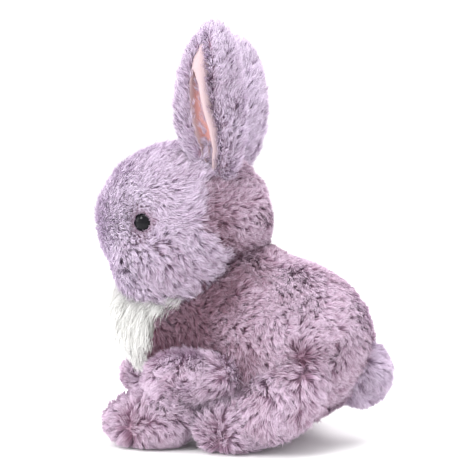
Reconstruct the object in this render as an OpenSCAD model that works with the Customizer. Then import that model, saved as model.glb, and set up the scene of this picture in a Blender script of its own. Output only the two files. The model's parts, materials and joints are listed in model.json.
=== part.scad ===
// Stuffed bunny rabbit, sitting, as separate sewn pieces with their fillings.
// Millimetres. +Z up, the bunny faces -Y and its left side is +X. Origin on the floor under the middle.
// Every outside solid is the fabric with the lower half of its pile, so loose pile stands a little beyond it.

/* [Body] */
// width across the rump
rump_w = 88; // [84:1:92]
// length of the rump, front to back
rump_l = 108; // [104:1:112]
// height of the back above the floor
back_h = 100; // [98:1:104]
// width across the chest
chest_w = 68; // [64:1:72]
// how far the chest stands in front of the origin
chest_front = 73; // [70:1:76]

/* [Head] */
// width across the temples
head_w = 78; // [74:1:82]
// length, nose to back of the head
head_l = 94; // [90:1:98]
// height, chin to crown
head_h = 82; // [78:1:86]
// height of the middle of the head above the floor
head_z = 125; // [124:1:128]

/* [Ears] */
// length of an ear
ear_l = 85; // [80:1:92]
// width of an ear, laid open
ear_w = 37; // [34:1:40]
// direction the ear opens to, turned outward from straight ahead
ear_yaw = 75; // [60:1:80]
// outward lean of the left ear
ear_lean_left = 8; // [4:1:12]
// outward lean of the right ear
ear_lean_right = 18; // [8:1:20]
// backward tilt of the right ear
ear_tilt_right = 2; // [0:1:6]

/* [Limbs] */
// half thickness of an upper foreleg
arm_r = 14; // [13:0.5:15]
// how far the right foreleg is lifted from the floor
right_lift = 13; // [0:1:15]
// half thickness of a haunch, out from the body
haunch_r = 19; // [17:1:21]
// half width of a hind foot
foot_r = 13.5; // [12:0.5:14]
// diameter of the tail
tail_d = 34; // [30:1:36]

/* [Small parts] */
// diameter of an eye
eye_d = 12; // [10:0.5:13]
// diameter of an eye's shank
shank_d = 3.2; // [2.5:0.1:4]
// width of the nose
nose_w = 11; // [8:0.5:13]

/* [Fabric] */
// thickness of the fabric with its flattened pile
skin_t = 3.5; // [2.5:0.5:4]

/* [Hidden] */
$fn = 96;
gap = 0.4;              // between two pieces of one body
run = 0.6;              // between two pieces that move on each other
base_t = 2.5;           // base panel
big = 400;

rump_c = [0, 18, back_h / 2 + 5];
rump_r = [rump_w / 2, rump_l / 2, back_h / 2 - 5];
seat_c = [0, 4, 31];
seat_r = [rump_w / 2 - 3.5, 39, 36.5];
chest_c = [0, -20, 71];
chest_r = [chest_w / 2, chest_front - 20, 40];

head_c = [0, -35, head_z];
head_r = [head_w / 2, head_l / 2, head_h / 2];
cheek_c = [18, -38, head_z - 14];
cheek_r = [23, 33, 25];
neck_p = [0, -12, 95];
neck_r = 21;
dish_c = [0, -36, head_z - 4];
dish_r = [head_w / 2 + 9, head_l / 2 + 6, head_h / 2 + 2];

ear_p = [20.5, -12, head_z + 30.5];
ear_c = [0, 0, ear_l / 2 - 7];
ear_r = [ear_w / 2, 12, ear_l / 2];
cup_shift = [0, -7, 0];
cup_r = [ear_r[0] * 0.52, 11, ear_r[2] - 5.5];
lining_t = 1.6;
ear_pocket_r = 14.5;

arm_p = [41, -9, 42];
arm_c = [41, -26, 41];
arm_size = [arm_r, 22, arm_r - 1.5];
paw_c = [36, -49, 14.5];
paw_size = [13.5, 25, 15];
elbow_p = [38.5, -35, 27];
elbow_r = 12.5;
arm_pocket_r = 11.5;
arm_room_r = 50;

haunch_c = [36.5, 24, 27];
haunch_size = [haunch_r, 31, 18.5];
haunch_tilt = 37;
ankle_p = [40, 8, 13.5];
foot_c = [40, -3, 14];
foot_size = [foot_r, 17, 15];
ankle_r = 11;

tail_p = [0, 58, 38];
tail_c = [0, 67, 38];
tail_r = [tail_d / 2, tail_d / 2 - 1, tail_d / 2];
tail_root_r = 12;

eye_c = [0, -52, head_z + 0.5];
eye_turn = 17;
eye_x = head_r[0] * sqrt(1 - pow((eye_c[1] - head_c[1]) / head_r[1], 2));
washer_r = 6.5;
washer_t = 1.4;
bag_c = [0, 12, 25];
bag_r = [22, 20, 12];
base_r = 23.5;
face_seam_y = -16;
eye_sink = 2.5;
eye_h = 4.6;
nose_c = [0, head_c[1] - head_r[1] + 0.2, head_z - 5];
nose_r = [nose_w / 2, 2.4, nose_w * 0.36];
washer_z = skin_t + 1;
shank_l = 10;

lilac = [0.76, 0.68, 0.77];
cream = [0.93, 0.93, 0.91];
pink = [0.93, 0.74, 0.71];
filling = [0.95, 0.95, 0.93];
black = [0.03, 0.03, 0.04];

// An egg shape of half sizes r, grown by d all round.
module egg(c, r, d = 0) {
    translate(c)
        scale([r[0] + d, r[1] + d, r[2] + d])
            sphere(r = 1);
}

module ball(c, r) {
    translate(c)
        sphere(r = r);
}

// Everything on the +X side.
module left_half() {
    translate([0, -big / 2, -big / 2])
        cube([big, big, big]);
}

module mirrored(side) {
    if (side > 0) {
        children();
    } else {
        mirror([1, 0, 0])
            children();
    }
}

// Body: rump, seat and chest in one, hollowed for the head, neck, limbs and tail. d > 0 lies inside.
module body_form(d = 0) {
    difference() {
        union() {
            egg(rump_c, rump_r, -d);
            egg(seat_c, seat_r, -d);
            egg(chest_c, chest_r, -d);
        }
        egg(dish_c, dish_r, d);
        ball(neck_p, neck_r + run + d);
        for (side = [1, -1]) {
            mirrored(side) {
                arm_room(d);
                foot_room(d);
            }
        }
        tail_room(d);
        translate([-big / 2, -big / 2, -big + base_t + gap + d])
            cube([big, big, big]);
    }
}

// Room beside the chest in which a foreleg swings.
module arm_room(d = 0) {
    ball(arm_p, arm_pocket_r + run + d);
    intersection() {
        translate([arm_p[0] - arm_r - 1.2 - d, arm_p[1], arm_p[2]])
            rotate([0, 90, 0])
                cylinder(r = arm_room_r + d, h = 60);
        translate([0, -big + arm_p[1] + d, 0])
            cube([big, big, big]);
    }
}

module foot_room(d = 0) {
    ball(ankle_p, ankle_r + run + d);
    egg(foot_c, foot_size + [1.5, 2, 5], d);
}

module tail_room(d = 0) {
    ball(tail_p, tail_root_r + run + d);
    egg(tail_c, tail_r + [4.5, 1.5, 1.5], d);
}

// Front of the chest that the white bib covers, wide under the chin and pointed below.
module bib_zone() {
    rotate([90, 0, 0])
        translate([0, 0, 27])
            linear_extrude(height = big / 2)
                polygon([[0, 38], [12, 46], [33, 60], [33, 120], [-33, 120], [-33, 60], [-12, 46]]);
}

module body_shell() {
    difference() {
        body_form();
        body_form(skin_t);
    }
}

module body_panel(side) {
    color(lilac)
        mirrored(side)
            difference() {
                intersection() {
                    body_shell();
                    left_half();
                }
                bib_zone();
            }
}

module chest_bib() {
    color(cream)
        intersection() {
            body_shell();
            bib_zone();
        }
}

module base_panel() {
    color(lilac)
        translate([0, seat_c[1], 0])
            cylinder(r = base_r, h = base_t);
}

module body_stuffing() {
    color(filling)
        difference() {
            body_form(skin_t + gap);
            egg(bag_c, bag_r, gap);
        }
}

module pellet_bag() {
    color(cream)
        egg(bag_c, bag_r);
}

// Round of a thigh pad, leaning back. d > 0 lies inside.
module haunch_egg(d = 0) {
    translate(haunch_c)
        rotate([haunch_tilt, 0, 0])
            egg([0, 0, 0], haunch_size, -d);
}

// Thigh pad sewn to the side of the rump. d > 0 lies inside.
module haunch_form(d = 0) {
    difference() {
        haunch_egg(d);
        egg(rump_c, rump_r, gap + d);
        egg(seat_c, seat_r, gap + d);
        foot_room(d);
    }
}

// The thigh's fabric is open towards the rump it is sewn to.
module haunch_skin(side) {
    color(lilac)
        mirrored(side)
            difference() {
                haunch_form();
                difference() {
                    haunch_egg(skin_t);
                    foot_room(skin_t);
                }
            }
}

module haunch_stuffing(side) {
    color(filling)
        mirrored(side)
            haunch_form(skin_t + gap);
}

module neck_stuffing() {
    color(filling)
        ball(neck_p, neck_r);
}

// Head with its two cheeks, hollowed for the neck and the ear roots. d > 0 lies inside.
module head_form(d = 0) {
    difference() {
        union() {
            egg(head_c, head_r, -d);
            for (side = [1, -1]) {
                mirrored(side)
                    egg(cheek_c, cheek_r, -d);
            }
        }
        ball(neck_p, neck_r + run + d);
        for (side = [1, -1]) {
            mirrored(side)
                ball(ear_p, ear_pocket_r + d);
        }
    }
}

// Stands its children on the head at an eye, +Z outward.
module at_eye(side) {
    mirrored(side)
        translate([eye_x, eye_c[1], eye_c[2]])
            rotate([0, 0, -eye_turn])
                rotate([0, 90, 0])
                    children();
}

module eye_room() {
    translate([0, 0, -eye_sink])
        cylinder(d = eye_d + 2 * gap, h = 20);
    translate([0, 0, -skin_t - 1])
        cylinder(d = shank_d + gap, h = 20);
}

module head_shell() {
    difference() {
        head_form();
        head_form(skin_t);
        at_eye(1)
            eye_room();
        at_eye(-1)
            eye_room();
    }
}

module face_panel(side) {
    color(lilac)
        mirrored(side)
            difference() {
                intersection() {
                    head_shell();
                    left_half();
                    translate([-big / 2, -big + face_seam_y, 0])
                        cube([big, big, big]);
                }
                nose_egg(gap);
            }
}

module head_back_panel() {
    color(lilac)
        intersection() {
            head_shell();
            translate([-big / 2, face_seam_y, 0])
                cube([big, big, big]);
        }
}

module head_stuffing() {
    color(filling)
        difference() {
            head_form(skin_t + gap);
            for (side = [1, -1]) {
                at_eye(side) {
                    translate([0, 0, -washer_z - washer_t - gap])
                        cylinder(r = washer_r + gap, h = 20);
                    translate([0, 0, -shank_l - gap])
                        cylinder(d = shank_d + 2 * gap, h = 20);
                }
            }
        }
}

// Safety eye: a glossy dome on a shank that goes through the fabric.
module eye(side) {
    color(black)
        at_eye(side) {
            difference() {
                egg([0, 0, -eye_sink], [eye_d / 2, eye_d / 2, eye_h]);
                translate([-10, -10, -20 - eye_sink])
                    cube([20, 20, 20]);
            }
            translate([0, 0, -shank_l])
                cylinder(d = shank_d, h = shank_l);
        }
}

module eye_washer(side) {
    color(filling)
        at_eye(side)
            translate([0, 0, -washer_z - washer_t])
                difference() {
                    cylinder(r = washer_r, h = washer_t);
                    translate([0, 0, -1])
                        cylinder(d = shank_d + 0.1, h = washer_t + 2);
                }
}

// Stitched nose, half sunk in the pile.
module nose_egg(d = 0) {
    egg(nose_c, nose_r, d);
}

module nose() {
    color(pink)
        nose_egg();
}

// Stands its children on an ear's root: +Z along the ear, -Y out of its opening.
module at_ear(side) {
    mirrored(side)
        translate(ear_p)
            rotate([side > 0 ? 0 : -ear_tilt_right, 0, 0])
                rotate([0, side > 0 ? ear_lean_left : ear_lean_right, 0])
                    rotate([0, 0, ear_yaw])
                        children();
}

module ear_back(side) {
    color(lilac)
        at_ear(side)
            difference() {
                egg(ear_c, ear_r);
                egg(ear_c + cup_shift, cup_r);
            }
}

module ear_lining(side) {
    color(pink)
        at_ear(side)
            difference() {
                intersection() {
                    egg(ear_c, ear_r, -1);
                    egg(ear_c + cup_shift, cup_r, -0.1);
                }
                egg(ear_c + cup_shift, cup_r, -0.1 - lining_t);
            }
}

// Upper foreleg with its round shoulder, and the forearm and paw under it. d > 0 lies inside.
module foreleg_form(d = 0) {
    difference() {
        union() {
            ball(arm_p, arm_pocket_r - d);
            egg(arm_c, arm_size, -d);
            egg(paw_c, paw_size, -d);
            ball(elbow_p, elbow_r - d);
        }
        translate([-big / 2, -big / 2, -big + gap + d])
            cube([big, big, big]);
    }
}

module at_foreleg(side) {
    mirrored(side)
        translate(arm_p)
            rotate([side > 0 ? 0 : -right_lift, 0, 0])
                translate(-arm_p)
                    children();
}

module foreleg_skin(side) {
    color(lilac)
        at_foreleg(side)
            difference() {
                foreleg_form();
                foreleg_form(skin_t);
            }
}

module foreleg_stuffing(side) {
    color(filling)
        at_foreleg(side)
            foreleg_form(skin_t + gap);
}

// Hind foot with its round ankle. d > 0 lies inside.
module foot_form(d = 0) {
    difference() {
        union() {
            ball(ankle_p, ankle_r - d);
            egg(foot_c, foot_size, -d);
        }
        translate([-big / 2, -big / 2, -big + gap + d])
            cube([big, big, big]);
    }
}

module foot_skin(side) {
    color(lilac)
        mirrored(side)
            difference() {
                foot_form();
                foot_form(skin_t);
            }
}

module foot_stuffing(side) {
    color(filling)
        mirrored(side)
            foot_form(skin_t + gap);
}

module tail_form(d = 0) {
    ball(tail_p, tail_root_r - d);
    egg(tail_c, tail_r, -d);
}

module tail_skin() {
    color(lilac)
        difference() {
            tail_form();
            tail_form(skin_t);
        }
}

module tail_stuffing() {
    color(filling)
        tail_form(skin_t + gap);
}

body_panel(1);  // body_panel_left
body_panel(-1);  // body_panel_right
chest_bib();
base_panel();
body_stuffing();
pellet_bag();
haunch_skin(1);  // haunch_skin_left
haunch_skin(-1);  // haunch_skin_right
haunch_stuffing(1);  // haunch_stuffing_left
haunch_stuffing(-1);  // haunch_stuffing_right
neck_stuffing();
face_panel(1);  // face_panel_left
face_panel(-1);  // face_panel_right
head_back_panel();
head_stuffing();
eye(1);  // eye_left
eye(-1);  // eye_right
eye_washer(1);  // eye_washer_left
eye_washer(-1);  // eye_washer_right
nose();
ear_back(1);  // ear_back_left
ear_back(-1);  // ear_back_right
ear_lining(1);  // ear_lining_left
ear_lining(-1);  // ear_lining_right
foreleg_skin(1);  // foreleg_skin_left
foreleg_skin(-1);  // foreleg_skin_right
foreleg_stuffing(1);  // foreleg_stuffing_left
foreleg_stuffing(-1);  // foreleg_stuffing_right
foot_skin(1);  // foot_skin_left
foot_skin(-1);  // foot_skin_right
foot_stuffing(1);  // foot_stuffing_left
foot_stuffing(-1);  // foot_stuffing_right
tail_skin();
tail_stuffing();
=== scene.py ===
import bmesh
import bpy
import json
import math
import numpy as np
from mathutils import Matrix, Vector
from mathutils.kdtree import KDTree


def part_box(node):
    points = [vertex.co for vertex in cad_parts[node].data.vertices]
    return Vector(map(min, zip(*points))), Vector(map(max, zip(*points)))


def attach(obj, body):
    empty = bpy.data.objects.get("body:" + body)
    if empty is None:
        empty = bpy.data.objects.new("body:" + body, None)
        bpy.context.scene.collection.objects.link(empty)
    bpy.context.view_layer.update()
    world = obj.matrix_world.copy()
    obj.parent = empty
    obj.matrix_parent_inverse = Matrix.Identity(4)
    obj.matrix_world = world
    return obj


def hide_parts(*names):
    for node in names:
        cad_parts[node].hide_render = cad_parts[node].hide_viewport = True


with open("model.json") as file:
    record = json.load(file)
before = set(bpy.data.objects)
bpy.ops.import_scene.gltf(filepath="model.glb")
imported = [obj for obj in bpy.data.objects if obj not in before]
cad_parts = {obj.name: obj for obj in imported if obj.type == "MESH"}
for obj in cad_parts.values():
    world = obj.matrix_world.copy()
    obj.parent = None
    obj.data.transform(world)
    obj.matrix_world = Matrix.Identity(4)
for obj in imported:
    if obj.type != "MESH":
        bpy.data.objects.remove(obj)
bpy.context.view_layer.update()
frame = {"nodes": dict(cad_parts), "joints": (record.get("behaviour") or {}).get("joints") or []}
MM = 0.001
SIDES = ((1, "left"), (-1, "right"))
STRANDS = 1.0       # share of the pile that is made


# ---------------------------------------------------------------- CAD places, in millimetres
def box(*nodes):
    """Lowest and highest corner of some CAD nodes together, in mm."""
    pairs = [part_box(n) for n in nodes]
    low = np.min([np.array(p[0]) for p in pairs], axis=0)
    high = np.max([np.array(p[1]) for p in pairs], axis=0)
    return low / MM, high / MM


def middle_of(*nodes):
    """Middle of the box round some CAD nodes, in mm."""
    low, high = box(*nodes)
    return (low + high) / 2


def joint_at(name):
    """Place of a joint, in mm."""
    return np.array(next(j for j in frame["joints"] if j["name"] == name)["pos_m"]) / MM


HEAD = box("face_panel_left", "face_panel_right", "head_back_panel")
REAR = box("body_panel_left", "body_panel_right", "chest_bib")[1][1]
head_c = (HEAD[0] + HEAD[1]) / 2
head_c[0] = 0
head_r = (HEAD[1] - HEAD[0]) / 2
head_r[0] = 39                              # the cheeks make the CAD box wider than the cranium
NOSE = middle_of("nose")
EYES = [middle_of("eye_left"), middle_of("eye_right")]
SINK = 1.5                                  # the cloth lies this far under the CAD surface
FLOOR = 0.8                                 # lowest cloth over the floor


class Egg:
    """An ellipsoid, with an optional turn about X through a pivot."""

    def __init__(self, c, r, pivot=None, turn=0.0):
        self.c, self.r = np.array(c, float), np.array(r, float)
        a = math.radians(turn)
        self.m = np.array([[1, 0, 0], [0, math.cos(a), -math.sin(a)], [0, math.sin(a), math.cos(a)]])
        self.p = np.array(pivot if pivot is not None else [0, 0, 0], float)

    def out(self, local):
        """Where places of the unturned ellipsoid lie after the turn."""
        return (local - self.p) @ self.m.T + self.p

    def depth(self, points):
        """Below 1 inside, above 1 outside."""
        local = (points - self.p) @ self.m + self.p
        return np.sqrt((((local - self.c) / self.r) ** 2).sum(1))


def mirror(egg_args, side):
    """Centre and radii of an ellipsoid, moved to the given side."""
    c, r = egg_args
    return (c[0] * side, c[1], c[2]), r


# ---------------------------------------------------------------- forms under the pile
def new_object(name, mesh):
    ob = bpy.data.objects.new(name, mesh)
    bpy.context.scene.collection.objects.link(ob)
    return ob


def applied(ob):
    """Replaces an object's mesh by its modifiers' result."""
    dg = bpy.context.evaluated_depsgraph_get()
    made = bpy.data.meshes.new_from_object(ob.evaluated_get(dg))
    old = ob.data
    ob.modifiers.clear()
    ob.data = made
    bpy.data.meshes.remove(old)
    return ob


def coords(ob):
    """Vertex places, in metres."""
    co = np.zeros(len(ob.data.vertices) * 3, np.float32)
    ob.data.vertices.foreach_get("co", co)
    return co.reshape(-1, 3).astype(float)


def normals_of(ob):
    nor = np.zeros(len(ob.data.vertices) * 3, np.float32)
    ob.data.vertices.foreach_get("normal", nor)
    return nor.reshape(-1, 3).astype(float)


def place(ob, co):
    """Moves an object's vertices to co, in metres."""
    ob.data.vertices.foreach_set("co", co.astype(np.float32).ravel())
    ob.data.update()


def shade_smooth(mesh):
    mesh.polygons.foreach_set("use_smooth", np.ones(len(mesh.polygons), bool))


def from_bmesh(name, bm):
    mesh = bpy.data.meshes.new(name)
    bm.to_mesh(mesh)
    bm.free()
    return new_object(name, mesh)


def make_form(name, eggs, voxel=3.0, smooth=8, grow=0.0):
    """Joins ellipsoids into one skin: remeshed, softened where they meet, and flat where it rests."""
    bm = bmesh.new()
    for e in eggs:
        verts = bmesh.ops.create_icosphere(bm, subdivisions=4, radius=1.0)["verts"]
        co = np.array([v.co for v in verts])
        co = e.out(co * (e.r + grow) + e.c)
        for v, p in zip(verts, co):
            v.co = Vector(p * MM)
    ob = from_bmesh(name, bm)
    remesh = ob.modifiers.new("remesh", "REMESH")
    remesh.mode = "VOXEL"
    remesh.voxel_size = voxel * MM
    soft = ob.modifiers.new("soft", "SMOOTH")
    soft.factor = 0.5
    soft.iterations = smooth
    applied(ob)
    co = coords(ob)
    co[:, 2] = np.maximum(co[:, 2], FLOOR * MM)
    place(ob, co)
    shade_smooth(ob.data)
    return ob


def triangles(ob):
    """Corner positions, in mm, and corner normals of every triangle."""
    me = ob.data
    me.calc_loop_triangles()
    idx = np.zeros(len(me.loop_triangles) * 3, np.int32)
    me.loop_triangles.foreach_get("vertices", idx)
    idx = idx.reshape(-1, 3)
    return (coords(ob) / MM)[idx], normals_of(ob)[idx]


def unit(v):
    return v / np.maximum(np.linalg.norm(v, axis=-1, keepdims=True), 1e-9)


def areas(tri):
    return np.linalg.norm(np.cross(tri[:, 1] - tri[:, 0], tri[:, 2] - tri[:, 0]), axis=1) / 2


def scatter(ob, count, rng):
    """count random points on a form, with the form's normals."""
    tri, nor = triangles(ob)
    area = areas(tri)
    pick = rng.choice(len(tri), int(count), p=area / area.sum())
    a, b = rng.random(len(pick)), rng.random(len(pick))
    flip = a + b > 1
    a[flip], b[flip] = 1 - a[flip], 1 - b[flip]
    w = np.stack([1 - a - b, a, b], 1)[:, :, None]
    return (tri[pick] * w).sum(1), unit((nor[pick] * w).sum(1))


def surface_area(ob):
    """Area of a form, in square mm."""
    return float(areas(triangles(ob)[0]).sum())


def recess(ob, where):
    """Moves a form's skin inwards by where(points, normals) mm."""
    co, nor = coords(ob) / MM, normals_of(ob)
    co -= nor * where(co, nor)[:, None]
    place(ob, co * MM)


def dent(ob, eggs, room=0.03):
    """Presses a form in along its normals, out of the stuffed parts that sit against it."""
    co, nor = coords(ob) / MM, normals_of(ob)
    for e in eggs:
        q = ((co - e.p) @ e.m + e.p - e.c) / e.r
        d = -(nor @ e.m) / e.r
        a, b, c = (d * d).sum(1), (q * d).sum(1), (q * q).sum(1) - (1 + room) ** 2
        root = np.sqrt(np.maximum(b * b - a * c, 0))
        t = np.where(c < 0, (-b + root) / a, 0)
        co -= nor * t[:, None]
    place(ob, co * MM)


# ---------------------------------------------------------------- noise and fall-off
def wobble(points, size, seed, octaves=9):
    """Smooth noise from about -1 to 1 with features of the given size in mm."""
    r = np.random.default_rng(seed)
    k = unit(r.normal(size=(octaves, 3))) * (2 * math.pi / size) * r.uniform(0.5, 1.4, (octaves, 1))
    phase = r.uniform(0, 2 * math.pi, octaves)
    return np.sin(points @ k.T + phase).sum(1) / math.sqrt(octaves / 2) * 0.7


def wobble3(points, size, seed):
    """The same noise as a vector."""
    return np.stack([wobble(points, size, seed + i) for i in range(3)], 1)


def bell(distance, width):
    """1 at no distance, falling to nothing over about twice the width."""
    return np.exp(-(distance / width) ** 2)


def near(points, c, reach):
    """1 at place c, falling to nothing over about twice the reach in mm."""
    return bell(np.linalg.norm(points - c, axis=1), reach)


# ---------------------------------------------------------------- pile
def tangent(vectors, normals):
    return unit(vectors - (vectors * normals).sum(1, keepdims=True) * normals)


def turned(t, n, angle):
    """Turns tangents t about normals n."""
    c, s = np.cos(angle)[:, None], np.sin(angle)[:, None]
    return t * c + np.cross(n, t) * s


SHADES = 64                                 # cells across the shade texture, one of them for each blade
BLADES_A_PIECE = 62000                      # at three triangles each, a piece stays under 200,000
PILE_FLOOR = 0.5                            # lowest pile over the floor
ROOT_DEPTH = 0.6                            # blades start this far under the cloth
TUFT_LENGTH, TUFT_RISE, TUFT_TONE = 0.08, 5, 0.10       # spread between tufts: share, degrees and tone
BLADE_LENGTH, BLADE_RISE, BLADE_TONE = 0.10, 6, 0.12    # the same between the blades of a tuft
BLADE_TURN = 12                             # degrees, spread of the blades' directions in a tuft
BLADE_ROLL = 30                             # degrees, about the blade's own length
STRAY = 0.13                                # how far tips miss their tuft's point, as a share of the spacing
BOW, BOW_SPREAD = 0.17, 0.05                # outward bend half way up, as a share of the length


def pile(name, form, body, comb, tone, length, lift, keep, density, spacing, clump, swirl, width, material,
         seed, grain, slot="lilac_pile", stretch=None):
    """Grows tufted pile on a form: thin bent blades in tufts, combed along a field.

    comb(p, n) gives a direction, tone(p, n) from 0 dark to 1 pale, keep(p, n) True where pile grows,
    stretch(p, n) a factor on the length. Lift is the angle off the cloth in degrees, density is in blades
    for each square mm, spacing is the distance between tufts, clump the share by which tips lean together,
    swirl the spread of the tufts' directions in degrees, and grain a factor on the spread of tone."""
    rng = np.random.default_rng(seed)
    area = surface_area(form)
    roots, normals = scatter(form, area * density * STRANDS, rng)
    centres, centre_n = scatter(form, area / spacing ** 2, rng)
    ok = keep(roots, normals)
    roots, normals = roots[ok], normals[ok]
    tree = KDTree(len(centres))
    for i, c in enumerate(centres):
        tree.insert(c, i)
    tree.balance()
    tuft = np.array([tree.find(p)[1] for p in roots])
    # one direction, length and lift for each tuft
    many = len(centres)
    tuft_t = tangent(comb(centres, centre_n), centre_n)
    tuft_t = turned(tuft_t, centre_n, np.radians(rng.normal(0, swirl, many)))
    tuft_len = length * rng.normal(1.0, TUFT_LENGTH, many).clip(0.6, 1.35)
    tuft_lift = np.radians(rng.normal(lift, TUFT_RISE, many).clip(8, 85))
    tuft_tone = rng.normal(0, TUFT_TONE, many)
    tuft_way = np.cos(tuft_lift)[:, None] * tuft_t + np.sin(tuft_lift)[:, None] * centre_n
    tuft_tip = centres + tuft_len[:, None] * tuft_way
    # each blade follows its tuft, and its tip leans towards the tuft's own point
    n = len(roots)
    t = turned(tuft_t[tuft], normals, np.radians(rng.normal(0, BLADE_TURN, n)))
    t = tangent(t, normals)
    own = tuft_len[tuft] * rng.normal(1, BLADE_LENGTH, n).clip(0.6, 1.4)
    rise = tuft_lift[tuft] + np.radians(rng.normal(0, BLADE_RISE, n))
    tip = roots + own[:, None] * (np.cos(rise)[:, None] * t + np.sin(rise)[:, None] * normals)
    goal = tuft_tip[tuft] + rng.normal(0, STRAY * spacing, (n, 3))
    pull = (clump * rng.uniform(0.55, 1.1, n))[:, None]
    tip = tip * (1 - pull) + goal * pull
    if stretch is not None:
        f = stretch(roots, normals)[:, None]
        tip = roots + (tip - roots) * f
        own = own * f[:, 0]
    span = tip - roots
    mid = roots + span * 0.5 + normals * (own * rng.normal(BOW, BOW_SPREAD, n))[:, None]
    shade = tone(roots, normals) + grain * (tuft_tone[tuft] + rng.normal(0, BLADE_TONE, n))
    wide = width * rng.uniform(0.75, 1.2, n)
    # nothing of it under the floor
    for a in (mid, tip):
        a[:, 2] = np.maximum(a[:, 2], PILE_FLOOR + rng.uniform(0, 0.4, n))
    root = roots - normals * ROOT_DEPTH
    root[:, 2] = np.maximum(root[:, 2], PILE_FLOOR)
    across = unit(np.cross(tip - root, normals) + 1e-6)
    across = unit(turned(across, unit(tip - root), np.radians(rng.normal(0, BLADE_ROLL, n))))
    blades(name, root, mid, tip, across, wide, shade.clip(0.0, 0.999), body, material)


def blades(name, root, mid, tip, side, width, shade, body, material):
    """Blades of five points and three triangles, from root over mid to tip, in pieces of limited size.

    Their UV map holds the blade's shade across and root to tip along."""
    cell = np.floor(shade * SHADES) / SHADES
    pattern = np.array([0, 1, 2, 0, 2, 3, 3, 2, 4])
    across = np.array([0.15, 0.85, 0.75, 0.25, 0.5])[pattern] / SHADES
    along = np.array([0.02, 0.02, 0.5, 0.5, 0.98])[pattern]
    parts = max(1, math.ceil(len(root) / BLADES_A_PIECE))
    order = np.argsort(root[:, 0]) if parts > 1 else np.arange(len(root))
    for k, idx in enumerate(np.array_split(order, parts)):
        n = len(idx)
        r, m, t, s, w = root[idx], mid[idx], tip[idx], side[idx], width[idx][:, None] / 2
        co = np.stack([r - s * w, r + s * w, m + s * w * 0.85, m - s * w * 0.85, t], 1) * MM
        mesh = bpy.data.meshes.new(f"{name}{k}")
        points, corners = co.shape[1], len(pattern)
        mesh.vertices.add(n * points)
        mesh.vertices.foreach_set("co", co.astype(np.float32).ravel())
        mesh.loops.add(n * corners)
        joined = (np.arange(n)[:, None] * points + pattern).ravel()
        mesh.loops.foreach_set("vertex_index", joined.astype(np.int32))
        mesh.polygons.add(n * corners // 3)
        mesh.polygons.foreach_set("loop_start", np.arange(0, n * corners, 3, dtype=np.int32))
        shade_smooth(mesh)
        mesh.update(calc_edges=True)
        layer = mesh.uv_layers.new(name="OFBake")
        uv = np.zeros((n, corners, 2))
        uv[:, :, 0] = cell[idx][:, None] + across
        uv[:, :, 1] = along
        layer.data.foreach_set("uv", uv.astype(np.float32).ravel())
        mesh.materials.append(material)
        ob = new_object(name if parts == 1 else f"{name}_{k + 1}", mesh)
        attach(ob, body)


# ---------------------------------------------------------------- materials
class Nodes:
    """A material with a Principled shader and short ways to add to it."""

    def __init__(self, name):
        self.mat = bpy.data.materials.new(name)
        self.mat.use_nodes = True
        self.tree = self.mat.node_tree
        self.bsdf = next(n for n in self.tree.nodes if n.type == "BSDF_PRINCIPLED")

    def add(self, kind, **values):
        node = self.tree.nodes.new(kind)
        for k, v in values.items():
            if hasattr(node, k):
                setattr(node, k, v)
            else:
                node.inputs[k].default_value = v
        return node

    def link(self, a, out, b, into):
        self.tree.links.new(a.outputs[out], b.inputs[into])

    def plain(self, **values):
        """Constants on the shader, with _ for each space in a name."""
        for k, v in values.items():
            self.bsdf.inputs[k.replace("_", " ")].default_value = v


def srgb(r, g, b):
    """Linear colour from values of 0 to 255."""
    def lin(c):
        c /= 255
        return c / 12.92 if c <= 0.04045 else ((c + 0.055) / 1.055) ** 2.4
    return (lin(r), lin(g), lin(b), 1)


def tones(*stops):
    """Ramp stops from places and colours of 0 to 255."""
    return [(pos, srgb(*rgb)) for pos, rgb in stops]


def ramp(nodes, stops):
    """A colour ramp with the given stops."""
    node = nodes.add("ShaderNodeValToRGB")
    els = node.color_ramp.elements
    while len(els) > 1:
        els.remove(els[-1])
    els[0].position, els[0].color = stops[0]
    for pos, col in stops[1:]:
        e = els.new(pos)
        e.color = col
    return node


def pile_material(name, hue_stops, root, root_end, frost, tip):
    """Colour from the blade's UV map alone: its shade across, and root to tip along.

    hue_stops colour the blade and root its foot, by shade. frost is the share of the tip colour by shade."""
    m = Nodes(name)
    uv = m.add("ShaderNodeUVMap", uv_map="OFBake")
    split = m.add("ShaderNodeSeparateXYZ")
    m.link(uv, "UV", split, "Vector")
    hue = ramp(m, hue_stops)
    m.link(split, "X", hue, "Fac")
    up = ramp(m, [(0.0, (0, 0, 0, 1)), (root_end, (1, 1, 1, 1))])
    m.link(split, "Y", up, "Fac")
    body = m.add("ShaderNodeMix", data_type="RGBA")
    foot = ramp(m, root)
    m.link(split, "X", foot, "Fac")
    m.tree.links.new(foot.outputs["Color"], body.inputs[6])
    m.link(up, "Color", body, 0)
    m.tree.links.new(hue.outputs["Color"], body.inputs[7])
    end = ramp(m, [(0.35, (0, 0, 0, 1)), (0.85, (1, 1, 1, 1))])
    m.link(split, "Y", end, "Fac")
    share = ramp(m, [(pos, (f, f, f, 1)) for pos, f in frost])
    m.link(split, "X", share, "Fac")
    amount = m.add("ShaderNodeMath", operation="MULTIPLY")
    m.link(end, "Color", amount, 0)
    m.link(share, "Color", amount, 1)
    whole = m.add("ShaderNodeMix", data_type="RGBA")
    m.link(amount, "Value", whole, 0)
    m.tree.links.new(body.outputs[2], whole.inputs[6])
    whole.inputs[7].default_value = tip
    m.tree.links.new(whole.outputs[2], m.bsdf.inputs["Base Color"])
    m.plain(Roughness=0.85, Sheen_Weight=0.2, Sheen_Roughness=0.5)
    m.plain(Specular_IOR_Level=0.15, Sheen_Tint=(0.95, 0.88, 1.0, 1))
    return m.mat


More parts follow.
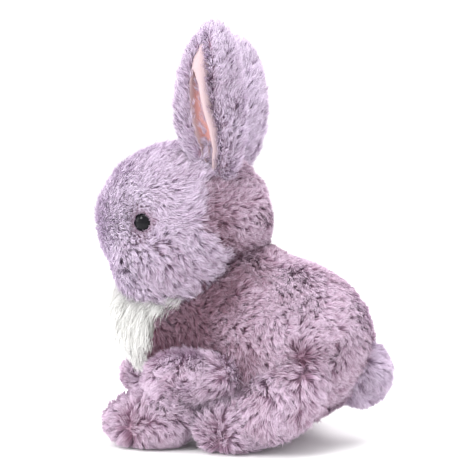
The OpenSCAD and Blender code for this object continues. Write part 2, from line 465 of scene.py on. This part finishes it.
def cloth_material(name, dark, light, scale=900.0, bump=0.25, sheen=0.5, roughness=0.9):
    """Knitted backing or short velour: a fine weave with colour variation."""
    m = Nodes(name)
    coord = m.add("ShaderNodeTexCoord")
    big = m.add("ShaderNodeTexNoise", Scale=60.0, Detail=4.0)
    fine = m.add("ShaderNodeTexNoise", Scale=scale, Detail=6.0)
    m.link(coord, "Object", big, "Vector")
    m.link(coord, "Object", fine, "Vector")
    mix = m.add("ShaderNodeMath", operation="MULTIPLY_ADD")
    m.link(fine, "Fac", mix, 0)
    mix.inputs[1].default_value = 0.6
    m.link(big, "Fac", mix, 2)
    colours = ramp(m, [(0.55, dark), (1.0, light)])
    m.link(mix, "Value", colours, "Fac")
    m.link(colours, "Color", m.bsdf, "Base Color")
    b = m.add("ShaderNodeBump", Strength=bump, Distance=0.0006)
    m.link(fine, "Fac", b, "Height")
    m.link(b, "Normal", m.bsdf, "Normal")
    m.plain(Roughness=roughness, Sheen_Weight=sheen)
    return m.mat


def eye_material():
    m = Nodes("eye_gloss")
    coord = m.add("ShaderNodeTexCoord")
    noise = m.add("ShaderNodeTexNoise", Scale=700.0, Detail=2.0)
    m.link(coord, "Object", noise, "Vector")
    shade = ramp(m, [(0.3, (0.004, 0.004, 0.006, 1)), (0.8, (0.010, 0.009, 0.011, 1))])
    m.link(noise, "Fac", shade, "Fac")
    m.link(shade, "Color", m.bsdf, "Base Color")
    m.plain(Roughness=0.07, Specular_IOR_Level=0.12)
    return m.mat


def lining_material():
    """Pink velour: darker salmon in the channel as painted shade, paler on the turned lip as painted light,
    by the cloth's own coordinates.
    """
    m = Nodes("pink_velour")
    uv = m.add("ShaderNodeUVMap", uv_map="OFBake")
    split = m.add("ShaderNodeSeparateXYZ")
    m.link(uv, "UV", split, "Vector")
    coord = m.add("ShaderNodeTexCoord")
    fine = m.add("ShaderNodeTexNoise", Scale=1500.0, Detail=5.0)
    m.link(coord, "Object", fine, "Vector")
    shift = m.add("ShaderNodeMath", operation="MULTIPLY_ADD")
    m.link(fine, "Fac", shift, 0)
    shift.inputs[1].default_value = 0.10
    m.link(split, "X", shift, 2)
    # the darker, more salmon stops are painted shade for the channel; the paler ones painted light for the
    # lip
    tint = ramp(m, tones((0.12, (186, 130, 124)), (0.34, (192, 146, 143)),
                         (0.52, (176, 148, 150)), (0.8, (178, 157, 161))))
    m.link(shift, "Value", tint, "Fac")
    m.link(tint, "Color", m.bsdf, "Base Color")
    b = m.add("ShaderNodeBump", Strength=0.35, Distance=0.0006)
    m.link(fine, "Fac", b, "Height")
    m.link(b, "Normal", m.bsdf, "Normal")
    m.plain(Roughness=0.95, Sheen_Weight=0.05, Specular_IOR_Level=0.1)
    return m.mat


lilac = pile_material(
    "lilac_pile_fibres",
    hue_stops=tones((0.0, (98, 56, 72)), (0.3, (142, 103, 124)),
                    (0.6, (168, 133, 157)), (1.0, (198, 173, 196))),
    root=tones((0.25, (122, 78, 98)), (0.6, (158, 124, 147))), root_end=0.35,
    frost=[(0.1, 0.14), (0.35, 0.46), (0.6, 0.72)], tip=srgb(230, 214, 230))
face_pile = pile_material(
    "lilac_face_fibres",
    hue_stops=tones((0.0, (136, 104, 126)), (0.4, (168, 141, 167)),
                    (0.7, (187, 165, 191)), (1.0, (210, 195, 215))),
    root=tones((0.2, (134, 100, 122)), (0.6, (168, 140, 166))), root_end=0.3,
    frost=[(0.2, 0.35), (0.6, 0.68)], tip=srgb(232, 222, 236))
white = pile_material(
    "white_pile_fibres",
    hue_stops=tones((0.0, (206, 205, 201)), (0.6, (217, 217, 214)), (1.0, (226, 226, 224))),
    root=tones((0.0, (200, 196, 188))), root_end=0.3, frost=[(0.0, 0.5)], tip=srgb(230, 230, 228))
backing = cloth_material("lilac_backing", srgb(150, 114, 134), srgb(186, 152, 172))
pink = lining_material()
gloss = eye_material()
filling = cloth_material("polyester_filling", srgb(222, 222, 216), srgb(246, 246, 242), scale=400.0)
bag = cloth_material("bag_cotton", srgb(196, 190, 176), srgb(222, 216, 204), scale=1200.0)
washer = cloth_material("washer_plastic", srgb(214, 214, 208), srgb(228, 228, 222), scale=300.0, bump=0.05,
                        sheen=0.0, roughness=0.45)
thread = cloth_material("nose_thread", srgb(196, 120, 124), srgb(222, 150, 152), scale=1100.0, bump=0.6)


# ---------------------------------------------------------------- the animal's volumes, in millimetres
rump = Egg((0, REAR - 54, 55), (44, 54, 45))
seat = Egg((0, REAR - 68, 31), (40.5, 39, 36.5))
chest = Egg((0, -20, 71), (35, 53, 40))
nape = Egg((0, -2, 80), (34, 36, 30))
cranium = Egg(head_c, head_r)
cheeks = [Egg((17 * side, head_c[1] - 4, head_c[2] - 19), (23, 32, 29)) for side, word in SIDES]
TAIL = box("tail_skin")
TAIL_R = (17, 16, 17)
tail_egg = Egg((0, TAIL[1][1] - TAIL_R[1], middle_of("tail_skin")[2]), TAIL_R)
TAIL_ROOT_R, SHOULDER_R, ANKLE_R = 12, 11.5, 11    # round ends where they meet the body

# centre and radii on the left side
HAUNCH, HAUNCH_TILT = ((36.5, 24, 28.2), (19, 30, 17)), 39
FOOT = ((40, -3, 14), (13.5, 17, 15))
PAW = ((36, -49, 14.5), (13.5, 25, 15))
ARM = ((41, -26, 41), (14, 22, 12.5))
ELBOW = ((38.5, -35, 27), (12.5, 12.5, 12.5))
PAW_TRIM = 0.6                              # half of what the near paw is shorter by and the far one longer
RIGHT_LIFT = 13                             # degrees by which the far foreleg is raised
shoulder = joint_at("foreleg_swing_left")
ankle = joint_at("foot_flex_left")


def limb_eggs(side):
    """A foreleg's upper arm, paw, elbow and shoulder."""
    turn = 0 if side > 0 else -RIGHT_LIFT
    pivot = shoulder * (side, 1, 1)
    c, r = PAW
    paw = (c[0], c[1] + PAW_TRIM * side, c[2]), (r[0], r[1] - PAW_TRIM * side, r[2])
    joint = tuple(shoulder), (SHOULDER_R,) * 3
    return [Egg(*mirror(part, side), pivot, turn) for part in (ARM, paw, ELBOW, joint)]


def foot_eggs(side):
    """A foot and its root at the ankle."""
    return [Egg(*mirror(FOOT, side)), Egg(*mirror((tuple(ankle), (ANKLE_R,) * 3), side))]


def haunch_egg(side):
    c, r = mirror(HAUNCH, side)
    return Egg(c, r, c, HAUNCH_TILT)


haunches = [haunch_egg(side) for side, word in SIDES]
limbs = {side: limb_eggs(side) for side, word in SIDES}
feet = {side: foot_eggs(side) for side, word in SIDES}

body_form = make_form("body_cloth", [rump, seat, chest, nape], smooth=24, grow=0.3)
head_form = make_form("head_cloth", [cranium] + cheeks, smooth=8, grow=0.2)
tail_root = Egg(joint_at("tail_wag"), (TAIL_ROOT_R,) * 3)
tail_form = make_form("tail_cloth", [tail_egg, tail_root], smooth=4, grow=-SINK)
arm_form, foot_form, haunch_form = {}, {}, {}
for side, word in SIDES:
    arm_form[side] = make_form(f"foreleg_cloth_{word}", limbs[side], voxel=2.5, smooth=6, grow=-SINK)
    foot_form[side] = make_form(f"foot_cloth_{word}", feet[side], voxel=2.5, smooth=5, grow=-SINK)
    haunch_form[side] = make_form(f"haunch_cloth_{word}", [haunch_egg(side)], smooth=4, grow=-SINK)


# ---------------------------------------------------------------- ears
EAR_L, EAR_W, EAR_D = 85, 37, 24
EAR_FOOT = -7                               # lowest end of an ear, from its root
EAR_LOW, EAR_HIGH = -4.0, 69.0              # foot and top of the lining, from the ear's root
EAR_BOW = {1: 3.6, -1: 0.4}                 # how far each ear bows forward half way up
EAR_LEAN = {1: 8, -1: 18}                   # degrees outwards
EAR_TILT = {1: 0, -1: 2}                    # degrees backwards
EAR_YAW = 75                                # degrees that the lining's side is turned outwards
GROOVE = 9.5                                # depth of the hollow that the lining fills
LIP, CHANNEL, LINING_SINK = 2.0, 5.2, 1.6   # the lining's turned lip stands up, its channel lies deep


def rotation(axis, degrees):
    c, s = math.cos(math.radians(degrees)), math.sin(math.radians(degrees))
    return np.array({"x": [[1, 0, 0], [0, c, -s], [0, s, c]],
                     "y": [[c, 0, s], [0, 1, 0], [-s, 0, c]],
                     "z": [[c, -s, 0], [s, c, 0], [0, 0, 1]]}[axis])


def ear_matrix(side):
    """An ear's turn and its root. Its own Z runs up the ear and -Y out of its front."""
    root = joint_at("ear_fold_left") * (side, 1, 1)
    m = rotation("x", -EAR_TILT[side]) @ rotation("y", EAR_LEAN[side]) @ rotation("z", EAR_YAW)
    return (m if side > 0 else np.diag([-1, 1, 1]) @ m), root


def bowed(z, side):
    """Shift along Y of an ear at height z over its root."""
    h = np.clip((z - EAR_FOOT) / EAR_L, 0, 1)
    return -EAR_BOW[side] * np.sin(math.pi * h)


def narrowed(z):
    """Share of the full width left towards the tip."""
    return 1 - 0.16 * np.clip((z - 38) / 40, 0, 1)


def slit(z):
    """Middle and half width of the slit that the lining fills at height z, and z as a share of its height."""
    h = (z - EAR_LOW) / (EAR_HIGH - EAR_LOW)
    levels = [0.0, 0.10, 0.22, 0.37, 0.52, 0.70, 0.90, 1.0]
    middle = np.interp(h, levels, [-0.6, 0.4, 1.0, 0.3, -1.2, -2.6, -3.2, -3.2])
    half = np.interp(h, levels, [0.8, 3.6, 5.6, 7.4, 6.8, 6.2, 4.8, 1.4])
    return middle, half, h


def ear_form(side, word):
    """A leaf of padded pile with a groove down its front."""
    m, root = ear_matrix(side)
    rows, cols = 44, 72
    bm = bmesh.new()
    grid = []
    for i in range(rows + 1):
        z0 = -math.cos(math.pi * i / rows)
        z = z0 * (EAR_L / 2 - SINK) + EAR_L / 2 + EAR_FOOT
        full = math.sqrt(max(0.0, 1 - z0 * z0))
        middle, half, h = slit(z)
        row = []
        for j in range(cols):
            a = 2 * math.pi * j / cols
            x = math.sin(a) * (EAR_W / 2 - SINK) * full * narrowed(z)
            y = -math.cos(a) * (EAR_D / 2 - SINK) * full
            if math.cos(a) > 0 and -0.1 < h < 1.05:
                y += GROOVE * full ** 0.8 * math.exp(-((x - middle) / (half + 0.6)) ** 4)
            q = m @ np.array([x, y, z]) + root
            q[1] += bowed(z, side)
            row.append(bm.verts.new(Vector(q * MM)))
        grid.append(row)
    for i in range(rows):
        for j in range(cols):
            k = (j + 1) % cols
            bm.faces.new((grid[i][j], grid[i][k], grid[i + 1][k], grid[i + 1][j]))
    bmesh.ops.remove_doubles(bm, verts=bm.verts, dist=0.00002)
    bmesh.ops.recalc_face_normals(bm, faces=bm.faces)
    ob = from_bmesh(f"ear_cloth_{word}", bm)
    shade_smooth(ob.data)
    return ob


def lining(side, word):
    """Pink velour lining: a deep channel, and a turned lip over the top of it and down its rear edge."""
    m, root = ear_matrix(side)
    rows, cols = 90, 44
    bm = bmesh.new()
    layer = bm.loops.layers.uv.new("OFBake")
    grid = []
    for i in range(rows + 1):
        z = EAR_LOW + (EAR_HIGH - EAR_LOW) * i / rows
        middle, half, h = slit(z)
        z0 = (z - EAR_L / 2 - EAR_FOOT) / (EAR_L / 2)
        # where the channel ends and the lip begins, from -1 at the front edge to 1 at the rear one
        edge = float(np.interp(h, [0.0, 0.10, 0.22, 0.37, 0.52, 0.70, 0.79, 0.82],
                               [-0.5, 0.05, 0.33, 0.25, 0.13, -0.1, -0.6, -1.0]))
        row = []
        for j in range(cols + 1):
            s = -1 + 2 * j / cols
            x = middle + s * half * 1.06
            front = -(EAR_D / 2) * math.sqrt(max(0.0, 1 - z0 * z0 - (x / (EAR_W / 2 * narrowed(z))) ** 2))
            deep = 1 / (1 + math.exp(-(s + 0.74) / 0.05)) / (1 + math.exp((s - edge) / 0.06))
            over = (s - (edge + 1) / 2) / max(0.3, (1 - edge) / 2)
            bulge = (1 - deep) * max(0.0, 1 - over ** 2)
            y = front + LINING_SINK - LIP * bulge + CHANNEL * deep * min(1.0, half / 4) + 0.5 * abs(s) ** 6
            q = m @ np.array([x, y, z]) + root
            q[1] += bowed(z, side)
            # the first UV value is lower down in the channel, most towards its foot, for painted shade
            row.append((bm.verts.new(Vector(q * MM)), 0.75 - 0.5 * deep - 0.12 * deep * (1 - h), h))
        grid.append(row)
    for i in range(rows):
        for j in range(cols):
            corners = (grid[i][j], grid[i][j + 1], grid[i + 1][j + 1], grid[i + 1][j])
            face = bm.faces.new([c[0] for c in corners])
            for loop, c in zip(face.loops, corners):
                loop[layer].uv = (c[1], c[2])
    bmesh.ops.recalc_face_normals(bm, faces=bm.faces)
    ob = from_bmesh(f"ear_lining_cloth_{word}", bm)
    mod = ob.modifiers.new("thick", "SOLIDIFY")
    mod.thickness = 0.8 * MM
    applied(ob)
    shade_smooth(ob.data)
    return ob


# ---------------------------------------------------------------- seams and dents
def seam_y(z):
    """Where the seam behind the face lies at height z: forward under the ears, pushed back by the cheeks."""
    heights = [-41, -36, -28, -18, -8, 0, 19, 30]
    return head_c[1] + np.interp(z - head_c[2], heights, [18, 22, 26, 26, 20, 13, 15, 19])


def behind_cheeks(p, n):
    """Inward step of the head's skin behind that seam: deep at the sides, slightly outwards on top."""
    step = np.clip((p[:, 1] - seam_y(p[:, 2]) + 1.5) / 4, 0, 1)
    sideways = np.abs(n[:, 0])
    return 3.2 * step * np.clip(sideways * 1.3 - 0.1, 0, 1) - 0.8 * (1 - sideways) * step


recess(head_form, behind_cheeks)
every_limb = [e for side, word in SIDES for e in limbs[side] + feet[side]]
dent(body_form, [cranium] + cheeks + [tail_egg] + every_limb)
ear_cloth, ear_inner = {}, {}
for side, word in SIDES:
    ear_cloth[side] = ear_form(side, word)
    ear_inner[side] = lining(side, word)


# ---------------------------------------------------------------- the cloth pieces
def skin(ob, body, nodes):
    """Backing cloth on a stuffed form, which rides a body and stands for its CAD nodes."""
    ob.data.materials.clear()
    ob.data.materials.append(backing)
    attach(ob, body)
    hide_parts(*nodes)


skin(body_form, "torso", ["body_panel_left", "body_panel_right", "chest_bib", "base_panel"])
skin(head_form, "head", ["face_panel_left", "face_panel_right", "head_back_panel"])
skin(tail_form, "tail", ["tail_skin"])
for side, word in SIDES:
    skin(arm_form[side], f"foreleg_{word}", [f"foreleg_skin_{word}"])
    skin(foot_form[side], f"foot_{word}", [f"foot_skin_{word}"])
    skin(haunch_form[side], "torso", [f"haunch_skin_{word}"])
    skin(ear_cloth[side], f"ear_{word}", [f"ear_back_{word}"])
    ob = ear_inner[side]
    ob.data.materials.append(pink)
    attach(ob, f"ear_{word}")
    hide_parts(f"ear_lining_{word}")

# ---------------------------------------------------------------- CAD nodes that stay
KEPT = {"eye_left": gloss, "eye_right": gloss, "pellet_bag": bag, "nose": thread,
        "eye_washer_left": washer, "eye_washer_right": washer}
for name, ob in frame["nodes"].items():
    mat = KEPT.get(name, filling if "stuffing" in name else None)
    if mat is not None:
        ob.data.materials.clear()
        ob.data.materials.append(mat)


# ---------------------------------------------------------------- where the pile grows
def whorl(p, c, still=9.0):
    """Directions of pile that parts round c: outwards, and slack within still mm of it."""
    d = p - c
    return d / np.maximum(np.linalg.norm(d, axis=1, keepdims=True), still)


def from_line(p, a, b):
    """Distance in a side view from each point to the line a-b, and how far along it lies."""
    a, b = np.array(a, float), np.array(b, float)
    along = ((p[:, 1:] - a) @ (b - a)) / ((b - a) @ (b - a))
    along = np.clip(along, 0, 1)
    return np.linalg.norm(p[:, 1:] - (a + along[:, None] * (b - a)), axis=1), along


def outside(points, eggs, margin):
    """True for points beyond every ellipsoid, each taken margin times as large."""
    ok = np.ones(len(points), bool)
    for e in eggs:
        ok &= e.depth(points) > margin
    return ok


# ---------------------------------------------------------------- body and bib
TUCK_X, TUCK_Y, TUCK_Z = 42.0, 38.0, 53.0   # where the left thigh is tacked to the flank
TUCK = {side: np.array([TUCK_X * side, TUCK_Y, TUCK_Z]) for side, word in SIDES}
NECK_BACK = (head_c[1] + 50, head_c[2] - 14)     # ends of the neck fold in a side view, along which shade is painted
NECK_FRONT = (head_c[1] - 3, head_c[2] - 63)
BIB_LOW, BIB_BACK = 34, -24                 # lowest and rearmost pile of the bib


def in_bib(p):
    """Front of the throat and chest: wide under the chin, pointed below."""
    half = np.interp(p[:, 2], [32, 44, 58, 72, 110], [3, 14, 26, 31, 31])
    return (p[:, 2] > BIB_LOW) & (p[:, 1] < BIB_BACK) & (np.abs(p[:, 0]) < half + wobble(p, 12, 5) * 1.5)


def bib_comb(p, n):
    return np.array([0, -0.25, -1.0]) + wobble3(p, 22, 50) * 0.12


def bib_tone(p, n):
    return 0.60 + 0.12 * wobble(p, 10, 51)


def body_keep(p, n):
    """Neither under another part, nor in the bib, nor on the flat it sits on."""
    ok = outside(p, haunches, 0.95) & outside(p, [tail_egg, cranium] + limbs[1] + limbs[-1], 1.06)
    return ok & ~in_bib(p) & ~((n[:, 2] < -0.8) & (p[:, 2] < 3))


def body_comb(p, n):
    """Back and down, parted round the tucks of the thighs."""
    flow = np.array([0, 0.55, -0.6]) + wobble3(p, 26, 40) * 0.8
    for tuck in TUCK.values():
        parted = near(p, tuck, 16)[:, None]
        flow = flow * (1 - parted) + whorl(p, tuck) * parted
    return flow


def body_tone_and_painted_light(p, n):
    """Painted light and shade on the pile's tone: paler on top and behind, darker in the neck fold, low on
    the flank, at the tucks, along the front of the thighs and beside the limbs.
    """
    base = 0.52 + 0.06 * wobble(p, 22, 60) + 0.05 * wobble(p, 7, 61)
    # painted light: paler where the pile faces up and backwards
    base += 0.16 * np.clip(n[:, 2], 0, 1) + 0.10 * np.clip(n[:, 1], 0, 1)
    # painted shade along the neck fold, and low on the flank
    off, along = from_line(p, NECK_BACK, NECK_FRONT)
    fold = bell(off, 9 + 13 * along) * (0.6 + 0.4 * along)
    low = np.exp(-(((p - np.array([0, -2, 52])) / np.array([80, 20, 16])) ** 2).sum(1))
    # painted shade along the front edge of the thighs
    thigh = bell(np.minimum(haunches[0].depth(p), haunches[1].depth(p)) - 1.02, 0.10)
    base -= 0.38 * thigh * np.clip((TUCK_Y - p[:, 1]) / 25, 0, 1)
    # painted shade beside the forelegs and paws
    for arm, paw in (eggs[:2] for eggs in limbs.values()):
        base -= 0.25 * bell(np.minimum(arm.depth(p), paw.depth(p)) - 1.1, 0.16)
    # painted shade in the dimples of the tucks
    tuck = sum(near(p, c, 5) for c in TUCK.values())
    return base - 0.70 * fold - 0.35 * low - 0.35 * tuck


# ---------------------------------------------------------------- head
EYE_CLEAR, NOSE_CLEAR = 5.9, 5.5            # no pile within this of their middles


def head_comb(p, n):
    """Away from the nose, and a little down."""
    return unit(p - NOSE) + np.array([0, 0, -0.15]) + wobble3(p, 18, 80) * 0.35


def head_stretch(p, n):
    """Short pile round the eyes."""
    f = np.ones(len(p))
    for e in EYES:
        f *= np.clip((np.linalg.norm(p - e, axis=1) - 4.0) / 9.0, 0.3, 1)
    return f


def face_part(p):
    """In front of the seam that runs down from the ears behind the cheeks."""
    return p[:, 1] < seam_y(p[:, 2]) + wobble(p, 14, 95) * 1.5


def cheek_part(p):
    """Below the eyes, where the pile is brushed up into tufts."""
    line = head_c[2] - 5 + 0.10 * (p[:, 1] - head_c[1])
    return (p[:, 2] < line + wobble(p, 10, 96) * 2.5) & (p[:, 1] > head_c[1] - 30 + wobble(p, 12, 97) * 3)


def face_keep(p):
    """The face, clear of the eyes and the nose."""
    ok = np.linalg.norm(p - NOSE, axis=1) > NOSE_CLEAR
    for e in EYES:
        ok &= np.linalg.norm(p - e, axis=1) > EYE_CLEAR
    return ok & face_part(p)


def head_tone_and_painted_light(p, n):
    """Painted light and shade on the pile's tone: pale in front as painted light, painted shade darkest just
    behind the seam where the cheeks overhang and under the chin, paler again over the back.
    """
    # painted shade just behind the seam, where the cheeks overhang the nape; less of it on top
    past = p[:, 1] - seam_y(p[:, 2]) - 5
    seam = np.where(past < 0, bell(past, 4), bell(past, 12))
    top = np.clip(n[:, 2], 0, 1)
    # painted shade under the chin, less where the face turns forward
    under = np.clip((head_c[2] - 2 - p[:, 2]) / 30, 0, 1)
    # painted light where the face turns forward
    front = np.clip(-n[:, 1], 0, 1)
    rims = sum(bell(np.linalg.norm(p - e, axis=1) - 5, 3) for e in EYES)
    return (0.60 + 0.06 * wobble(p, 16, 90) + 0.04 * wobble(p, 6, 91)
            - 0.36 * seam * (1 - 0.8 * top) - 0.18 * under * (1 - front) + 0.36 * front - 0.45 * rims)


pile("fur_body", body_form, "torso", body_comb, body_tone_and_painted_light, 7.2, 38, keep=body_keep, material=lilac, seed=11,
     spacing=1.6, clump=0.34, swirl=24, density=5.6, width=0.34, grain=0.7)
pile("fur_head", head_form, "head", head_comb, head_tone_and_painted_light, 7.5, 38,
     keep=lambda p, n: face_keep(p) & ~cheek_part(p), stretch=head_stretch, material=face_pile, seed=12,
     spacing=1.6, clump=0.10, swirl=8, density=6.0, width=0.30, grain=0.5)
pile("fur_cheeks", head_form, "head", head_comb, head_tone_and_painted_light, 8.2, 44,
     keep=lambda p, n: face_keep(p) & cheek_part(p), stretch=head_stretch, material=face_pile, seed=15,
     spacing=1.9, clump=0.32, swirl=18, density=6.0, width=0.30, grain=0.9)
pile("fur_nape", head_form, "head", head_comb, head_tone_and_painted_light, 6.5, 44,
     keep=lambda p, n: ~face_part(p), material=lilac, seed=14,
     spacing=1.6, clump=0.42, swirl=34, density=5.2, width=0.32, grain=0.8)
pile("fur_bib", body_form, "torso", bib_comb, bib_tone, 13.0, 22,
     keep=lambda p, n: in_bib(p) & outside(p, [cranium], 1.06), material=white, slot="white_pile", seed=13,
     spacing=1.8, clump=0.22, swirl=6, density=6.0, width=0.30, grain=1.0)

# ---------------------------------------------------------------- limbs and ears
LIMB_PILE = dict(material=lilac, spacing=1.8, clump=0.32, swirl=20, density=5.0, width=0.33, grain=0.7)
PAW_FACE = (9, -4, 0)                       # where a left paw's pile parts, from the paw's middle
FOOT_FACE = (44, -6, 14)                    # where the left foot's pile parts


def foreleg_pile(side, word):
    """Parted on the paw's outer face, and brushed outwards and down above it."""
    paw = limbs[side][1]
    face = paw.out(paw.c[None, :])[0] + np.array(PAW_FACE) * (side, 1, 1)
    outward = np.array([0.45 * side, -0.45, -0.45])

    def comb(p, n):
        parted = near(p, face, 22)[:, None]
        return whorl(p, face) * parted + outward * (1 - parted) + wobble3(p, 16, 120) * 0.45

    def tone(p, n):
        # painted light: paler where the pile faces up
        base = 0.82 + 0.08 * wobble(p, 14, 121) + 0.06 * wobble(p, 6, 122) + 0.1 * n[:, 2]
        # painted shade where the pile parts on the paw's face
        return base - 0.40 * near(p, face, 8)

    pile(f"fur_foreleg_{word}", arm_form[side], f"foreleg_{word}", comb, tone, 7.4, 44,
         keep=lambda p, n: outside(p, [rump, chest], 0.92), seed=20 + side, **LIMB_PILE)


def foot_pile(side, word):
    """Parted on the foot's outer face."""
    face = np.array(FOOT_FACE) * (side, 1, 1)

    def comb(p, n):
        return whorl(p, face) + np.array([0, -0.1, 0.15]) + wobble3(p, 12, 130) * 0.4

    def tone(p, n):
        # painted shade where the pile parts on the foot's face
        return 0.84 + 0.08 * wobble(p, 12, 131) + 0.06 * wobble(p, 6, 132) - 0.35 * near(p, face, 9)

    pile(f"fur_foot_{word}", foot_form[side], f"foot_{word}", comb, tone, 7.4, 46,
         keep=lambda p, n: outside(p, haunches + [seat], 0.92), seed=30 + side, **LIMB_PILE)


def haunch_pile(side, word):
    """Away from the tuck at the top of the thigh, then down and back."""
    tuck = TUCK[side]

    def comb(p, n):
        parted = near(p, tuck, 22)[:, None]
        down = np.array([0, 0.15, -0.7])
        return whorl(p, tuck) * parted + down * (1.2 - parted) + wobble3(p, 20, 140) * 0.45

    def tone(p, n):
        # painted shade in the dimple of the tuck
        return 0.66 + 0.10 * wobble(p, 15, 141) + 0.06 * wobble(p, 6, 142) - 0.45 * near(p, tuck, 5)

    pile(f"fur_haunch_{word}", haunch_form[side], "torso", comb, tone, 8.6, 38,
         keep=lambda p, n: outside(p, [rump, seat], 0.92), material=lilac, seed=40 + side,
         spacing=2.0, clump=0.38, swirl=22, density=5.0, width=0.35, grain=0.7)


def beside_slit(q):
    """Distance past the slit's edge, and the side it lies on, for places in the ear's own directions."""
    middle, half, h = slit(q[:, 2])
    away = np.abs(q[:, 0] - middle) - half
    return np.where((h > -0.05) & (h < 1.03), away, 9.0), np.sign(q[:, 0] - middle)


def ear_pile(side, word):
    """Up the ear, and outwards from the slit on its front."""
    m, root = ear_matrix(side)
    up, across = m @ np.array([0, 0, 1.0]), m @ np.array([1.0, 0, 0])
    # painted shade over the whole far ear
    far_shade = 0.0 if side > 0 else 0.10

    def local(p):
        """Places in the ear's own directions from its root, with its bow taken out."""
        height = ((p - root) @ m)[:, 2]
        flat = p.copy()
        flat[:, 1] -= bowed(height, side)
        return (flat - root) @ m

    def keep(p, n):
        q = local(p)
        away, where = beside_slit(q)
        return (q[:, 1] > -1) | (away > np.where(where < 0, 0.9, -0.2))

    def comb(p, n):
        q = local(p)
        away, where = beside_slit(q)
        push = np.clip(-q[:, 1] / 6, 0, 1) * np.clip(1 - away / 6, 0, 1) * where
        return up * 0.75 + push[:, None] * across * 1.1 + wobble3(p, 16, 150) * 0.35

    def tone(p, n):
        """Painted shade, dark, in the crease behind the lining and over the far ear; painted light, paler, at
        the tip and on the back.
        """
        q = local(p)
        away, where = beside_slit(q)
        # painted shade in the crease beside the lining
        crease = bell(away - 1.5, 2.6) * (where > 0) * (q[:, 1] < 0) * bell(q[:, 2] - 34, 24)
        # painted light: paler at the tip and on the backlit back of the ear
        high = np.clip((q[:, 2] - 52) / 22, 0, 1)
        behind = np.clip(q[:, 1] / 8, 0, 1)
        base = 0.70 + 0.07 * wobble(p, 14, 151) + 0.05 * wobble(p, 6, 152) - far_shade
        return base - 0.34 * crease * (1 + 0.5 * wobble(p, 7, 153)) + 0.32 * high + 0.50 * behind

    pile(f"fur_ear_{word}", ear_cloth[side], f"ear_{word}", comb, tone, 7.0, 42, keep=keep,
         material=face_pile, seed=50 + side,
         spacing=1.9, clump=0.22, swirl=14, density=5.5, width=0.30, grain=0.7)


def tail_comb(p, n):
    return np.array([0, 0.6, -0.5]) + wobble3(p, 12, 160) * 0.6


def tail_tone(p, n):
    return 0.66 + 0.1 * wobble(p, 12, 161)


for side, word in SIDES:
    foreleg_pile(side, word)
    foot_pile(side, word)
    haunch_pile(side, word)
    ear_pile(side, word)
pile("fur_tail", tail_form, "tail", tail_comb, tail_tone, 8.0, 46, keep=lambda p, n: outside(p, [rump], 0.9),
     material=face_pile, seed=60, spacing=1.8, clump=0.25, swirl=15, density=5.5, width=0.3, grain=0.7)


# ---------------------------------------------------------------- stage, light and camera, in metres
def area_light(name, place, target, size, power):
    data = bpy.data.lights.new(name, "AREA")
    data.shape = "SQUARE"
    data.size = size
    data.energy = power
    ob = new_object(name, data)
    ob.location = place
    ob.rotation_euler = (Vector(target) - Vector(place)).to_track_quat("-Z", "Y").to_euler()


def paper_material():
    m = Nodes("floor_paper")
    coord = m.add("ShaderNodeTexCoord")
    grain = m.add("ShaderNodeTexNoise", Scale=40.0, Detail=3.0)
    m.link(coord, "Object", grain, "Vector")
    tint = ramp(m, [(0.3, (0.93, 0.93, 0.93, 1)), (0.7, (0.96, 0.96, 0.96, 1))])
    m.link(grain, "Fac", tint, "Fac")
    m.link(tint, "Color", m.bsdf, "Base Color")
    m.plain(Roughness=0.8)
    return m.mat


PAPER_HALF, PAPER_DROP = 30.0, 0.0003       # a white sheet just under the toy
sheet = bmesh.new()
bmesh.ops.create_grid(sheet, x_segments=2, y_segments=2, size=PAPER_HALF)
floor = from_bmesh("floor", sheet)
floor.location.z = -PAPER_DROP
floor.data.materials.append(paper_material())

world = bpy.data.worlds.new("studio")
bpy.context.scene.world = world
world.use_nodes = True
world.node_tree.nodes["Background"].inputs["Color"].default_value = (1, 1, 1, 1)
world.node_tree.nodes["Background"].inputs["Strength"].default_value = 1.15

MIDDLE = (0, 0, 0.11)
area_light("key", (0.75, -0.75, 0.85), MIDDLE, 0.36, 8.0)
area_light("top", (0.1, -0.1, 1.2), MIDDLE, 0.9, 14.0)
area_light("fill", (0.25, -1.2, 0.45), MIDDLE, 0.6, 4.0)
area_light("rim", (-0.75, 0.35, 0.9), MIDDLE, 0.6, 10.0)

AZIMUTH, ELEVATION, DISTANCE = 98.0, 5.0, 0.70
TARGET = Vector((0, -0.004, 0.115))
LENS, SENSOR = 92.0, 36.0
a, e = math.radians(AZIMUTH), math.radians(ELEVATION)
back = Vector((math.sin(a) * math.cos(e), -math.cos(a) * math.cos(e), math.sin(e)))
cam_data = bpy.data.cameras.new("camera")
cam_data.lens = LENS
cam_data.sensor_width = SENSOR
cam = new_object("camera", cam_data)
cam.location = TARGET + back * DISTANCE
cam.rotation_euler = (-back).to_track_quat("-Z", "Y").to_euler()
bpy.context.scene.camera = cam
bpy.context.scene.view_settings.view_transform = "Standard"
